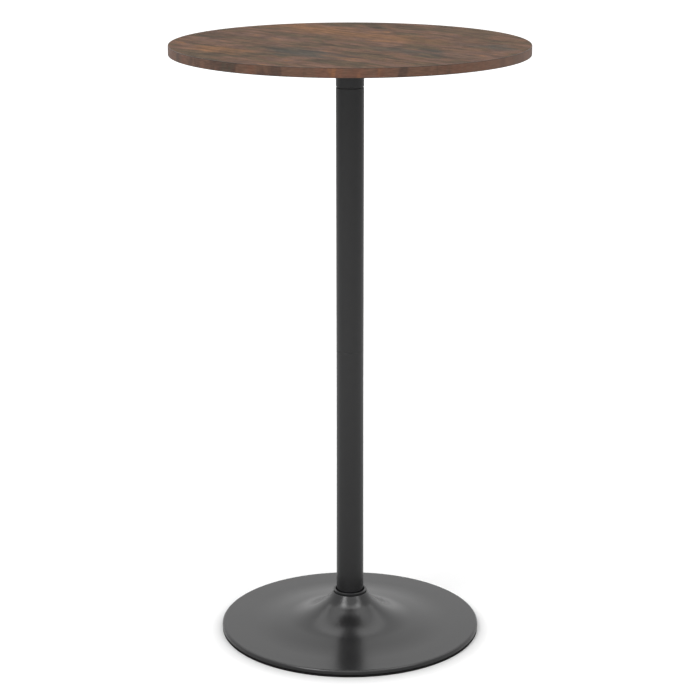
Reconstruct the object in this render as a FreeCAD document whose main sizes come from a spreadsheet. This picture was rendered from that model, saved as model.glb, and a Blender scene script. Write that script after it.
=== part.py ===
"""Bar-height pub table: a round laminated board on one bolted steel column and a weighted trumpet base.

The part stands on z = 0 with its axis on the Z axis.  Every sub-part is a body of its own, drawn about
that axis from its own lower face and lifted to its place.  All sizes are millimetres, kept in one sheet.
"""
import FreeCAD, Part
import os
import Sketcher

DRIVING_SIZES = {
    # the board and its edge
    "top_diameter": (610, "board over its edge band"),
    "board_thickness": (16, "laminated board"),
    "band_thickness": (1, "plastic edge band"),
    "band_round": (0.8, "rounding along both rims of the band"),
    "glue_gap": (0.05, "glue line between the band and the board"),
    # the mounting plate under the board and what holds it
    "plate_side": (180, "square mounting plate"),
    "plate_thickness": (3, "mounting plate"),
    "plate_corner": (14, "corner radius of the mounting plate"),
    "screw_spacing": (150, "mounting screws, centre to centre"),
    "screw_diameter": (6, "mounting screw"),
    "screw_length": (16, "mounting screw under its head"),
    "screw_head_diameter": (11, "mounting screw head"),
    "screw_head_height": (3.5, "mounting screw head"),
    "screw_head_round": (1.6, "crown of the mounting screw head"),
    "socket_flats": (4, "hexagon socket across flats"),
    "socket_depth": (2, "hexagon socket"),
    "screw_gap": (0.5, "screw in the holes that it passes through"),
    "small_washer_diameter": (13, "flat washer of the small screws"),
    "small_washer_thickness": (1.2, "flat washer of the small screws"),
    "small_spring_diameter": (10.4, "split washer of the small screws"),
    "small_spring_thickness": (1.6, "split washer of the small screws"),
    "spring_split": (1.4, "cut through a split washer"),
    "insert_diameter": (9.4, "threaded insert pressed into the board"),
    "insert_length": (12, "threaded insert with its flange"),
    "insert_flange_diameter": (14, "flange of the threaded insert"),
    "insert_flange_thickness": (1, "flange of the threaded insert"),
    "insert_gap": (0.05, "threaded insert in its hole"),
    "thread_gap": (0.05, "external thread in its internal thread"),
    # the column
    "tube_diameter": (48, "column tube outside"),
    "tube_wall": (1.5, "column tube"),
    "tube_length": (460, "each of the two long tubes"),
    "tube_end_round": (0.5, "eased rim at each tube end"),
    "collar_length": (53, "short tube welded under the mounting plate"),
    "weld_leg": (3.5, "fillet weld of the collar"),
    "spacer_diameter": (45, "plastic washer between the collar and the upper tube"),
    "spacer_thickness": (2, "plastic washer between the collar and the upper tube"),
    "plug_height": (15, "threaded plug welded into a tube end"),
    "plug_gap": (0.1, "threaded plug in its tube"),
    "stud_diameter": (12, "threaded stud and base bolt"),
    "stud_margin": (1, "how far a stud stops short of its plug's far face"),
    # the trumpet base
    "base_diameter": (460, "base over its rim"),
    "shell_wall": (1.2, "spun steel shell"),
    "rim_height": (9.4, "edge of the crown above the hem"),
    "rim_bend": (2.8, "inside radius of the bend from the crown down the rim"),
    "hem_bend": (2.2, "inside radius of the bend from the rim into the hem"),
    "hem_width": (16, "hem turned in under the ballast plate"),
    "crown_bend_radius": (160, "where the crown starts to rise"),
    "crown_bend_rise": (0.4, "that place above the crown's edge"),
    "crown_bend_round": (400, "hollow where the crown starts to rise"),
    "flare_foot_radius": (78.6, "where the flare runs out into the crown"),
    "flare_foot_height": (18.7, "that place above the hem"),
    "flare_foot_round": (116, "hollow between the flare and the crown"),
    "neck_height": (63.8, "neck above the hem"),
    "neck_bend_spread": (10.1, "where the neck passes into the flare, out from the lip's edge"),
    "neck_bend_drop": (14.2, "that place below the lip"),
    "neck_bend_round": (55, "hollow between the neck and the flare"),
    "neck_gap": (3.4, "mouth of the neck around the column"),
    "neck_lip": (3, "lip turned in at the neck's top"),
    "lip_bend": (0.4, "inside radius of the bend from the neck into the lip"),
    "trim_gap": (2, "plastic ring around the column"),
    "trim_width": (4, "flange of the plastic ring, out from its bore"),
    "trim_height": (2.3, "that flange"),
    "trim_round": (1, "rounding of that flange"),
    "trim_shoulder": (0.6, "shoulder under the flange, out from the neck's mouth"),
    "trim_stand": (2.6, "height of the shoulder, which leaves a groove over the lip"),
    "trim_fit": (0.2, "sleeve of the plastic ring in the neck's mouth"),
    "trim_sleeve": (6, "length of that sleeve below the lip"),
    "floor_ring_inset": (0.3, "rubber ring in from the rim"),
    "floor_ring_width": (7, "rubber ring"),
    "floor_ring_height": (3, "rubber ring"),
    "floor_ring_round": (0.6, "rounding of the rubber ring"),
    # the weight and the pressing that carry the column
    "ballast_gap": (2.8, "ballast plate inside the rim"),
    "ballast_thickness": (5, "ballast plate"),
    "cone_height": (46.8, "column seat above the ballast plate"),
    "cone_wall": (2.5, "pressed support cone"),
    "cone_shoulder": (2, "cone's seat beyond the column"),
    "cone_spread": (7, "cone's foot beyond its seat"),
    "cone_flange": (18, "flange around the cone's foot"),
    "cone_round": (2, "outer bends of the cone"),
    "flange_screw_diameter": (6, "screws that hold the cone on the ballast plate"),
    "flange_screw_flats": (10, "hexagon head of those screws"),
    "flange_screw_head": (4, "height of that head"),
    "bolt_flats": (19, "hexagon head of the base bolt"),
    "bolt_head": (7.5, "height of the base bolt's head"),
    "bolt_gap": (0.5, "base bolt in the seat and its washers"),
    "big_washer_diameter": (30, "flat washer of the base bolt"),
    "big_washer_thickness": (2.5, "flat washer of the base bolt"),
    "big_spring_diameter": (21, "split washer of the base bolt"),
    "big_spring_thickness": (3, "split washer of the base bolt"),
}

# levels above the floor, from the ground up
HEM_Z = "Sizes.floor_ring_height"
BALLAST_Z = f"({HEM_Z} + Sizes.shell_wall)"
CONE_Z = f"({BALLAST_Z} + Sizes.ballast_thickness)"
SEAT_Z = f"({CONE_Z} + Sizes.cone_height)"
MIDDLE_Z = f"({SEAT_Z} + Sizes.tube_length)"
COLUMN_TOP_Z = f"({MIDDLE_Z} + Sizes.tube_length)"
COLLAR_Z = f"({COLUMN_TOP_Z} + Sizes.spacer_thickness)"
PLATE_Z = f"({COLLAR_Z} + Sizes.collar_length)"
BOARD_Z = f"({PLATE_Z} + Sizes.plate_thickness)"
LIP_Z = f"({HEM_Z} + Sizes.neck_height)"

# radii that several sub-parts share
TUBE_R = "Sizes.tube_diameter / 2"
STUD_R = "Sizes.stud_diameter / 2"
THREAD_R = f"({STUD_R} + Sizes.thread_gap)"
BOLT_HOLE_R = f"({STUD_R} + Sizes.bolt_gap)"
NECK_BORE_R = f"({TUBE_R} + Sizes.neck_gap)"
NECK_R = f"({NECK_BORE_R} + Sizes.neck_lip)"
TRIM_BORE_R = f"({TUBE_R} + Sizes.trim_gap)"
RIM_R = "Sizes.base_diameter / 2"
BALLAST_R = f"({RIM_R} - Sizes.shell_wall - Sizes.ballast_gap)"
CONE_SEAT_R = f"({TUBE_R} + Sizes.cone_shoulder)"
CONE_FOOT_R = f"({CONE_SEAT_R} + Sizes.cone_spread)"
CONE_FLANGE_R = f"({CONE_FOOT_R} + Sizes.cone_flange)"
CONE_HOLLOW_R = f"({CONE_FOOT_R} - Sizes.cone_wall)"
FLANGE_SCREW_X = f"({CONE_FOOT_R} + Sizes.cone_flange / 2)"
FLANGE_SCREW_R = "Sizes.flange_screw_diameter / 2"
MOUNT_X = "Sizes.screw_spacing / 2"
SCREW_R = "Sizes.screw_diameter / 2"
SCREW_HOLE_R = f"({SCREW_R} + Sizes.screw_gap)"
INSERT_R = "Sizes.insert_diameter / 2"
INSERT_FLANGE_R = "Sizes.insert_flange_diameter / 2"

AT_MOUNT = (MOUNT_X, MOUNT_X)
AT_FLANGE = (FLANGE_SCREW_X, "0")
FOUR = 4
HUNG_ARC = 4    # entries of a corner that an arc hangs from
NEAR = 1e-4
UPRIGHT = "90 deg"
LEVEL = "0 deg"

doc = FreeCAD.newDocument("pub_table")
sheet = doc.addObject("Spreadsheet::Sheet", "Sizes")
for row, (alias, (size, meaning)) in enumerate(DRIVING_SIZES.items(), start=1):
    sheet.set(f"A{row}", alias)
    sheet.set(f"B{row}", str(size))
    sheet.setAlias(f"B{row}", alias)
    sheet.set(f"C{row}", meaning)
doc.recompute()

sub_parts = []


def value(expression):
    """What an expression comes to with the sheet's present numbers."""
    result = sheet.evalExpression(expression)
    return float(getattr(result, "Value", result))


def start(label, height):
    """A new sub-part whose own z = 0 lies at the given level above the floor."""
    body = doc.addObject("PartDesign::Body", label)
    body.Label = label
    body.setExpression("Placement.Base.z", height)
    sub_parts.append(body)
    return body


def plane(body, role):
    return next(feature for feature in body.Origin.OriginFeatures if feature.Role == role)


def attach(feature, body, role, offset):
    """Put a sketch or primitive on a plane of its own body, moved by three expressions."""
    feature.AttachmentSupport = (plane(body, role), "")
    feature.MapMode = "FlatFace"
    for axis, distance in zip("xyz", offset):
        feature.setExpression(f"AttachmentOffset.Base.{axis}", distance)


def finish_step(body, feature):
    body.Tip = feature
    doc.recompute()
    return feature


def pin_down(sketch, line, end, direction, axis, distance):
    """Hold one end of an outline's line at a distance from the sketch's origin."""
    if abs(value(distance)) < NEAR:
        sketch.addConstraint(Sketcher.Constraint("PointOnObject", line, end, axis))
        return
    number = sketch.addConstraint(Sketcher.Constraint(direction, -1, 1, line, end, value(distance)))
    sketch.setExpression(f"Constraints[{number}]", distance)


def hollow(near, far, radius):
    """An arc that hangs between two points, the first one nearer the axis, with its centre above."""
    chord = far - near
    above = FreeCAD.Vector(-chord.y, chord.x, 0).normalize()
    centre = near + chord / 2 + above * (radius ** 2 - (chord.Length / 2) ** 2) ** 0.5
    circle = Part.Circle(centre, FreeCAD.Vector(0, 0, 1), radius)
    return Part.ArcOfCircle(circle, circle.parameter(near), circle.parameter(far))


def outline(body, corners, aside):
    """A closed sketch, upright through the axis, from (radius, height) corners.

    Straight lines join them; a fourth entry hangs an arc of that radius up to the next corner.
    """
    sketch = body.newObject("Sketcher::SketchObject", f"{body.Name}_outline")
    attach(sketch, body, "XZ_Plane", (aside[0], "0", f"-({aside[1]})"))
    points = [FreeCAD.Vector(value(radius), value(height), 0) for radius, height, *_ in corners]
    count = len(points)
    ends = []
    for line, corner in enumerate(corners):
        here, there = points[line], points[(line + 1) % count]
        is_arc = len(corner) == HUNG_ARC
        backward = is_arc and here.x > there.x
        ends.append((2, 1) if backward else (1, 2))
        if is_arc:
            near, far = (there, here) if backward else (here, there)
            sketch.addGeometry(hollow(near, far, value(corner[-1])), False)
        else:
            sketch.addGeometry(Part.LineSegment(here, there), False)
    for line in range(count):
        after = (line + 1) % count
        sketch.addConstraint(Sketcher.Constraint("Coincident", line, ends[line][1], after, ends[after][0]))
    for line, corner in enumerate(corners):
        pin_down(sketch, line, ends[line][0], "DistanceX", -2, corner[0])
        pin_down(sketch, line, ends[line][0], "DistanceY", -1, corner[1])
        if len(corner) == HUNG_ARC:
            number = sketch.addConstraint(Sketcher.Constraint("Radius", line, value(corner[-1])))
            sketch.setExpression(f"Constraints[{number}]", corner[-1])
    return sketch


def round_circle(body, radius, height, rounding):
    """Fillet the circular edge of a turned shape that has this radius at this height."""
    base = body.Tip
    edges = [f"Edge{number}" for number, edge in enumerate(base.Shape.Edges, start=1)
             if isinstance(edge.Curve, Part.Circle) and len(edge.Vertexes) == 1
             and abs(edge.Curve.Radius - value(radius)) < NEAR
             and abs(edge.Curve.Center.z - value(height)) < NEAR]
    fillet = body.newObject("PartDesign::Fillet", f"{body.Name}_rounding")
    fillet.Base = (base, edges)
    fillet.setExpression("Radius", rounding)
    finish_step(body, fillet)


def turn(body, corners, aside=("0", "0")):
    """Turn an outline about the upright line through its own origin; a third entry rounds a corner."""
    revolution = body.newObject("PartDesign::Revolution", f"{body.Name}_turned")
    sketch = outline(body, corners, aside)
    revolution.Profile = sketch
    revolution.ReferenceAxis = (sketch, ["V_Axis"])
    revolution.Angle = 360
    finish_step(body, revolution)
    for radius, height, *rounding in corners:
        if rounding and rounding[0]:
            round_circle(body, radius, height, rounding[0])
    return revolution


def primitive(body, kind, sizes, offset=("0", "0", "0")):
    """Add or cut a box, cylinder or prism that stands on the body's own XY plane."""
    feature = body.newObject(f"PartDesign::{kind}", f"{body.Name}_{kind}")
    attach(feature, body, "XY_Plane", offset)
    for name, size in sizes.items():
        feature.setExpression(name, size)
    return finish_step(body, feature)


def hexagon(flats, height):
    """Sizes of a six-sided prism from its width across flats."""
    return {"Circumradius": f"{flats} / sqrt(3)", "Height": height}


def cylinder(radius, height):
    return {"Radius": radius, "Height": height}


def repeat(body, features=()):
    """Copy features, or else the whole sub-part, round the table's axis to make four."""
    pattern = body.newObject("PartDesign::PolarPattern", f"{body.Name}_pattern")
    if features:
        pattern.Originals = list(features)
    else:
        pattern.TransformMode = "Whole shape"
        body.AllowCompound = True
    pattern.Axis = (plane(body, "Z_Axis"), [""])
    pattern.Angle = 360
    pattern.Occurrences = FOUR
    return finish_step(body, pattern)


def ring(inner, outer, height, rounding=None):
    """Corners of a ring or washer from its own lower face, with its outer edges rounded if asked."""
    soft = (rounding,) if rounding else ()
    return [(inner, "0"), (outer, "0", *soft), (outer, height, *soft), (inner, height)]


# ---------------------------------------------------------------- the top

def tabletop_board():
    """Laminated board with four holes and shallow counterbores for the threaded inserts."""
    board = start("tabletop_board", BOARD_Z)
    radius = "(Sizes.top_diameter / 2 - Sizes.band_thickness - Sizes.glue_gap)"
    primitive(board, "AdditiveCylinder", cylinder(radius, "Sizes.board_thickness"))
    hole = primitive(board, "SubtractiveCylinder",
                     cylinder(f"{INSERT_R} + Sizes.insert_gap", "Sizes.insert_length"),
                     (*AT_MOUNT, "0"))
    counterbore = primitive(board, "SubtractiveCylinder",
                            cylinder(f"{INSERT_FLANGE_R} + Sizes.insert_gap",
                                     "Sizes.insert_flange_thickness"), (*AT_MOUNT, "0"))
    repeat(board, [hole, counterbore])


def edge_band():
    """Plastic strip glued round the board, its two rims eased."""
    band = start("edge_band", BOARD_Z)
    turn(band, ring("Sizes.top_diameter / 2 - Sizes.band_thickness", "Sizes.top_diameter / 2",
                    "Sizes.board_thickness", "Sizes.band_round"))


def insert_nuts():
    """Flanged threaded inserts pressed into the board from below."""
    inserts = start("insert_nuts", BOARD_Z)
    bore = f"({SCREW_R} + Sizes.thread_gap)"
    turn(inserts, [(bore, "0"),
                   (INSERT_FLANGE_R, "0"),
                   (INSERT_FLANGE_R, "Sizes.insert_flange_thickness"),
                   (INSERT_R, "Sizes.insert_flange_thickness"),
                   (INSERT_R, "Sizes.insert_length"),
                   (bore, "Sizes.insert_length")], AT_MOUNT)
    repeat(inserts)


def top_plate():
    """Square steel plate between the collar and the board, with a hole for each screw."""
    plate = start("top_plate", PLATE_Z)
    slab = primitive(plate, "AdditiveBox",
                     {"Length": "Sizes.plate_side", "Width": "Sizes.plate_side",
                      "Height": "Sizes.plate_thickness"},
                     ("-Sizes.plate_side / 2", "-Sizes.plate_side / 2", "0"))
    upright = [f"Edge{number}" for number, edge in enumerate(slab.Shape.Edges, start=1)
               if abs(edge.tangentAt(edge.FirstParameter).z) > 1 - NEAR]
    corners = plate.newObject("PartDesign::Fillet", "top_plate_corners")
    corners.Base = (slab, upright)
    corners.setExpression("Radius", "Sizes.plate_corner")
    finish_step(plate, corners)
    hole = primitive(plate, "SubtractiveCylinder", cylinder(SCREW_HOLE_R, "Sizes.plate_thickness"),
                     (*AT_MOUNT, "0"))
    repeat(plate, [hole])


def top_screws():
    """Socket-head screws, drawn from the crown of the head up to the tip in the insert."""
    washers = "(Sizes.small_spring_thickness + Sizes.small_washer_thickness)"
    screws = start("top_screws", f"{PLATE_Z} - {washers} - Sizes.screw_head_height")
    head_r = "Sizes.screw_head_diameter / 2"
    primitive(screws, "AdditiveCylinder", cylinder(head_r, "Sizes.screw_head_height"), (*AT_MOUNT, "0"))
    round_circle(screws, head_r, "0", "Sizes.screw_head_round")
    primitive(screws, "AdditiveCylinder", cylinder(SCREW_R, "Sizes.screw_length"),
              (*AT_MOUNT, "Sizes.screw_head_height"))
    primitive(screws, "SubtractivePrism", hexagon("Sizes.socket_flats", "Sizes.socket_depth"),
              (*AT_MOUNT, "0"))
    repeat(screws)


def top_flat_washers():
    washers = start("top_flat_washers", f"{PLATE_Z} - Sizes.small_washer_thickness")
    turn(washers, ring(SCREW_HOLE_R, "Sizes.small_washer_diameter / 2", "Sizes.small_washer_thickness"),
         AT_MOUNT)
    repeat(washers)


def split_washer(body, bore, outer, thickness, centre=("0", "0")):
    """A ring with one slit from its bore outwards along +X."""
    turn(body, ring(bore, outer, thickness), centre)
    primitive(body, "SubtractiveBox",
              {"Length": outer, "Width": "Sizes.spring_split", "Height": thickness},
              (centre[0], f"{centre[1]} - Sizes.spring_split / 2", "0"))


def top_spring_washers():
    height = "Sizes.small_spring_thickness"
    washers = start("top_spring_washers", f"{PLATE_Z} - Sizes.small_washer_thickness - {height}")
    split_washer(washers, SCREW_HOLE_R, "Sizes.small_spring_diameter / 2", height, AT_MOUNT)
    repeat(washers)


# ---------------------------------------------------------------- the column

def tube(label, height, length):
    """A length of column tube with both outer rims eased."""
    pipe = start(label, height)
    turn(pipe, ring(f"{TUBE_R} - Sizes.tube_wall", TUBE_R, length, "Sizes.tube_end_round"))


def plug(label, height):
    """Threaded steel plug welded flush into a tube end."""
    disc = start(label, height)
    turn(disc, ring(THREAD_R, f"{TUBE_R} - Sizes.tube_wall - Sizes.plug_gap", "Sizes.plug_height"))


def stud(label, low, high):
    """Plain-turned stand-in for a threaded stud between two levels."""
    rod = start(label, low)
    primitive(rod, "AdditiveCylinder", cylinder(STUD_R, f"{high} - {low}"))


def collar_weld():
    """Fillet of weld all round the collar where it meets the plate."""
    bead = start("collar_weld", f"{PLATE_Z} - Sizes.weld_leg")
    turn(bead, [(TUBE_R, "0"), (f"{TUBE_R} + Sizes.weld_leg", "Sizes.weld_leg"),
                (TUBE_R, "Sizes.weld_leg")])


def collar_spacer():
    """Plastic washer that leaves the narrow groove under the collar."""
    washer = start("collar_spacer", COLUMN_TOP_Z)
    turn(washer, ring(BOLT_HOLE_R, "Sizes.spacer_diameter / 2", "Sizes.spacer_thickness"))


# ---------------------------------------------------------------- the base

def slope(high, low):
    """Angle below the horizontal of the line from one corner to a lower one further out."""
    return f"atan(({high[1]} - {low[1]}) / ({low[0]} - {high[0]}))"


def inside(corner, before, after, rounding):
    """The corner one wall inside an outer corner, between lines that fall at two angles."""
    middle = f"(({before}) + ({after})) / 2"
    half = f"(({before}) - ({after})) / 2"
    return (f"{corner[0]} - Sizes.shell_wall * sin({middle}) / cos({half})",
            f"{corner[1]} - Sizes.shell_wall * cos({middle}) / cos({half})", rounding)


def bend_ends(corner, before, after, rounding, depth):
    """Both ends of an arc that rounds a corner too slight for a fillet, that deep under it."""
    reach = f"{rounding} * tan(({before} - {after}) / 2)"
    return ((f"{corner[0]} - {reach} * cos({before}) - {depth} * sin({before})",
             f"{corner[1]} + {reach} * sin({before}) - {depth} * cos({before})"),
            (f"{corner[0]} + {reach} * cos({after}) - {depth} * sin({after})",
             f"{corner[1]} - {reach} * sin({after}) - {depth} * cos({after})"))


def base_shell():
    """Spun steel trumpet: lip, neck, flare, slowly rising crown, rim and the hem under the ballast."""
    shell = start("base_shell", HEM_Z)
    wall = "Sizes.shell_wall"
    lip = (NECK_R, "Sizes.neck_height")
    neck = (f"({NECK_R} + Sizes.neck_bend_spread)", "(Sizes.neck_height - Sizes.neck_bend_drop)")
    foot = ("Sizes.flare_foot_radius", "Sizes.flare_foot_height")
    crown = ("Sizes.crown_bend_radius", "(Sizes.rim_height + Sizes.crown_bend_rise)")
    rim = (RIM_R, "Sizes.rim_height")
    neck_fall = slope(lip, neck)
    flare_fall = slope(neck, foot)
    crown_fall = slope(foot, crown)
    edge_fall = slope(crown, rim)
    bend = "Sizes.crown_bend_round"
    bend_top, bend_bottom = bend_ends(crown, crown_fall, edge_fall, bend, "0")
    under_top, under_bottom = bend_ends(crown, crown_fall, edge_fall, bend, wall)
    hem_r = f"{RIM_R} - Sizes.hem_width"
    turn(shell, [(NECK_BORE_R, "Sizes.neck_height"),
                 (*lip, f"Sizes.lip_bend + {wall}"),
                 (*neck, "Sizes.neck_bend_round"),
                 (*foot, "Sizes.flare_foot_round"),
                 (*bend_top, None, bend),
                 bend_bottom,
                 (*rim, f"Sizes.rim_bend + {wall}"),
                 (RIM_R, "0", f"Sizes.hem_bend + {wall}"),
                 (hem_r, "0"),
                 (hem_r, wall),
                 (f"{RIM_R} - {wall}", wall, "Sizes.hem_bend"),
                 inside(rim, UPRIGHT, edge_fall, "Sizes.rim_bend"),
                 (*under_bottom, None, f"{bend} + {wall}"),
                 under_top,
                 inside(foot, crown_fall, flare_fall, f"Sizes.flare_foot_round + {wall}"),
                 inside(neck, flare_fall, neck_fall, f"Sizes.neck_bend_round + {wall}"),
                 inside(lip, neck_fall, LEVEL, "Sizes.lip_bend"),
                 (NECK_BORE_R, f"Sizes.neck_height - {wall}")])


def trim_ring():
    """Plastic ring in the neck's mouth: a sleeve, a shoulder that stands on the lip, and a flange."""
    trim = start("trim_ring", f"{LIP_Z} - Sizes.trim_sleeve")
    sleeve_r = f"{NECK_BORE_R} - Sizes.trim_fit"
    shoulder_r = f"{NECK_BORE_R} + Sizes.trim_shoulder"
    flange_r = f"{TRIM_BORE_R} + Sizes.trim_width"
    lip_z = "Sizes.trim_sleeve"
    flange_z = f"({lip_z} + Sizes.trim_stand)"
    top_z = f"({flange_z} + Sizes.trim_height)"
    turn(trim, [(TRIM_BORE_R, "0"),
                (sleeve_r, "0"),
                (sleeve_r, lip_z),
                (shoulder_r, lip_z),
                (shoulder_r, flange_z),
                (flange_r, flange_z, "Sizes.trim_round / 2"),
                (flange_r, top_z, "Sizes.trim_round"),
                (TRIM_BORE_R, top_z, "Sizes.trim_round / 2")])


def floor_ring():
    """Rubber ring under the hem, which the whole table stands on."""
    rubber = start("floor_ring", "0")
    outer = f"({RIM_R} - Sizes.floor_ring_inset)"
    turn(rubber, [(f"{outer} - Sizes.floor_ring_width", "0"),
                  (outer, "0", "Sizes.floor_ring_round"),
                  (outer, "Sizes.floor_ring_height"),
                  (f"{outer} - Sizes.floor_ring_width", "Sizes.floor_ring_height")])


def ballast_plate():
    """Heavy steel disc inside the rim, tapped for the cone's screws and open under the cone."""
    ballast = start("ballast_plate", BALLAST_Z)
    turn(ballast, ring(CONE_HOLLOW_R, BALLAST_R, "Sizes.ballast_thickness"))
    hole = primitive(ballast, "SubtractiveCylinder",
                     cylinder(f"{FLANGE_SCREW_R} + Sizes.thread_gap", "Sizes.ballast_thickness"),
                     (*AT_FLANGE, "0"))
    repeat(ballast, [hole])


def support_cone():
    """Pressed steel hat: a seat for the column's foot on a cone with a flange."""
    cone = start("support_cone", CONE_Z)
    wall = "Sizes.cone_wall"
    turn(cone, [(BOLT_HOLE_R, "Sizes.cone_height"),
                (CONE_SEAT_R, "Sizes.cone_height", "Sizes.cone_round"),
                (CONE_FOOT_R, wall, "Sizes.cone_round"),
                (CONE_FLANGE_R, wall),
                (CONE_FLANGE_R, "0"),
                (CONE_HOLLOW_R, "0"),
                (f"{CONE_SEAT_R} - {wall}", f"Sizes.cone_height - {wall}"),
                (BOLT_HOLE_R, f"Sizes.cone_height - {wall}")])
    hole = primitive(cone, "SubtractiveCylinder",
                     cylinder(f"{FLANGE_SCREW_R} + Sizes.screw_gap", wall), (*AT_FLANGE, "0"))
    repeat(cone, [hole])


def cone_screws():
    """Hexagon screws through the cone's flange into the ballast plate, flush with its underside."""
    screws = start("cone_screws", BALLAST_Z)
    under_head = "(Sizes.ballast_thickness + Sizes.cone_wall)"
    primitive(screws, "AdditiveCylinder", cylinder(FLANGE_SCREW_R, under_head), (*AT_FLANGE, "0"))
    primitive(screws, "AdditivePrism", hexagon("Sizes.flange_screw_flats", "Sizes.flange_screw_head"),
              (*AT_FLANGE, under_head))
    repeat(screws)


BIG_WASHER_Z = f"({SEAT_Z} - Sizes.cone_wall - Sizes.big_washer_thickness)"
BIG_SPRING_Z = f"({BIG_WASHER_Z} - Sizes.big_spring_thickness)"


def base_flat_washer():
    washer = start("base_flat_washer", BIG_WASHER_Z)
    turn(washer, ring(BOLT_HOLE_R, "Sizes.big_washer_diameter / 2", "Sizes.big_washer_thickness"))


def base_spring_washer():
    washer = start("base_spring_washer", BIG_SPRING_Z)
    split_washer(washer, BOLT_HOLE_R, "Sizes.big_spring_diameter / 2", "Sizes.big_spring_thickness")


def base_bolt():
    """Hexagon bolt up through the cone's seat into the plug at the column's foot."""
    bolt = start("base_bolt", f"{BIG_SPRING_Z} - Sizes.bolt_head")
    primitive(bolt, "AdditivePrism", hexagon("Sizes.bolt_flats", "Sizes.bolt_head"))
    tip = f"{SEAT_Z} + Sizes.plug_height - Sizes.stud_margin - {BIG_SPRING_Z}"
    primitive(bolt, "AdditiveCylinder", cylinder(STUD_R, tip), ("0", "0", "Sizes.bolt_head"))


def check_and_write():
    """Stop on any failed feature or bad solid, then write one STEP file for each sub-part."""
    doc.recompute()
    failed = [item.Label for item in doc.Objects if {"Invalid", "Error"} & set(item.State)]
    empty = [body.Label for body in sub_parts if body.Shape.isNull() or not body.Shape.isValid()]
    if failed or empty:
        raise RuntimeError(f"failed features: {failed}; bad sub-parts: {empty}")
    os.makedirs("parts", exist_ok=True)
    for body in sub_parts:
        body.Shape.exportStep(f"parts/{body.Label}.step")
        box = body.Shape.optimalBoundingBox()
        print(f"{body.Label:22s} solids {len(body.Shape.Solids)}  volume {body.Shape.Volume:12.1f}"
              f"  z {box.ZMin:8.2f} to {box.ZMax:8.2f}  width {box.XLength:7.2f}")


tabletop_board()
edge_band()
insert_nuts()
top_plate()
top_screws()
top_flat_washers()
top_spring_washers()

tube("collar_tube", COLLAR_Z, "Sizes.collar_length")
collar_weld()
plug("collar_plug", COLLAR_Z)
collar_spacer()
tube("upper_tube", MIDDLE_Z, "Sizes.tube_length")
plug("upper_tube_top_plug", f"{COLUMN_TOP_Z} - Sizes.plug_height")
plug("upper_tube_foot_plug", MIDDLE_Z)
tube("lower_tube", SEAT_Z, "Sizes.tube_length")
plug("lower_tube_top_plug", f"{MIDDLE_Z} - Sizes.plug_height")
plug("lower_tube_foot_plug", SEAT_Z)
THREAD_DEPTH = "(Sizes.plug_height - Sizes.stud_margin)"
stud("collar_stud", f"({COLUMN_TOP_Z} - {THREAD_DEPTH})", f"({COLLAR_Z} + {THREAD_DEPTH})")
stud("middle_stud", f"({MIDDLE_Z} - {THREAD_DEPTH})", f"({MIDDLE_Z} + {THREAD_DEPTH})")

base_shell()
trim_ring()
floor_ring()
ballast_plate()
support_cone()
cone_screws()
base_flat_washer()
base_spring_washer()
base_bolt()

check_and_write()
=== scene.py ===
"""Bar-height pub table: a round wood-print top on a black steel column and a spun trumpet base."""
import math

import bmesh
import bpy
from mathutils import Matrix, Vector


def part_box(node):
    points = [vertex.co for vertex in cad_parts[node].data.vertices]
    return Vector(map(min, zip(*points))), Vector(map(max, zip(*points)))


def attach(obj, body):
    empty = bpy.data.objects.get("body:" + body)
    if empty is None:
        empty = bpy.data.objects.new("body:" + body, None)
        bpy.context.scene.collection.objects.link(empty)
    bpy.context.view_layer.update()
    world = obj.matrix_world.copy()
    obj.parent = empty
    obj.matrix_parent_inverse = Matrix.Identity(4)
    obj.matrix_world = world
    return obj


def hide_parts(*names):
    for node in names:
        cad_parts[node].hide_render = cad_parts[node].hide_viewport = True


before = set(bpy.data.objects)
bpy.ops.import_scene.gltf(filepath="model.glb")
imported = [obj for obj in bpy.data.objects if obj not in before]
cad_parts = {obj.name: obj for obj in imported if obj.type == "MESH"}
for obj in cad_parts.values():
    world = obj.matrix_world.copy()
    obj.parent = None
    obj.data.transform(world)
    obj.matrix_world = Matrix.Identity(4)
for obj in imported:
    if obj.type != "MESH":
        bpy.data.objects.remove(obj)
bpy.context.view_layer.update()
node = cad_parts


# ---------------------------------------------------------------- floor ring
# Flat ring of black rubber under the hem of the base.  The whole table stands on it, and it is
# pressed over the turned-in steel edge, so only its narrow outer face shows.

MM = 0.001


def levels(name):
    """Lowest and highest level of a CAD node, in millimetres."""
    return [corner.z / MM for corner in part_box(name)]


def extent(name):
    """Radius, lowest and highest level of a round CAD node, in millimetres."""
    low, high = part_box(name)
    return (high.x - low.x) / 2 / MM, *levels(name)


def step(tree, kind, feeds, **options):
    """Add one node, set its options and feed its inputs from numbers or from other nodes."""
    made = tree.nodes.new(kind)
    for option, choice in options.items():
        setattr(made, option, choice)
    for place, feed in feeds.items():
        if isinstance(feed, bpy.types.Node):
            feed = feed.outputs[0]
        if isinstance(feed, bpy.types.NodeSocket):
            tree.links.new(feed, made.inputs[place])
        else:
            made.inputs[place].default_value = feed
    return made


def reckon(tree, kind, first, second=0.0):
    """One sum with numbers or with what other nodes give, such as ADD or MAXIMUM."""
    return step(tree, "ShaderNodeMath", {0: first, 1: second}, operation=kind)


def new_finish(name, colour, roughness):
    """A material of one even colour, with its node tree and its surface shader for more to be added."""
    finish = bpy.data.materials.new(name)
    finish.use_nodes = True
    shader = finish.node_tree.nodes["Principled BSDF"]
    shader.inputs["Base Color"].default_value = (*colour, 1)
    shader.inputs["Roughness"].default_value = roughness
    return finish, finish.node_tree, shader


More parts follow.
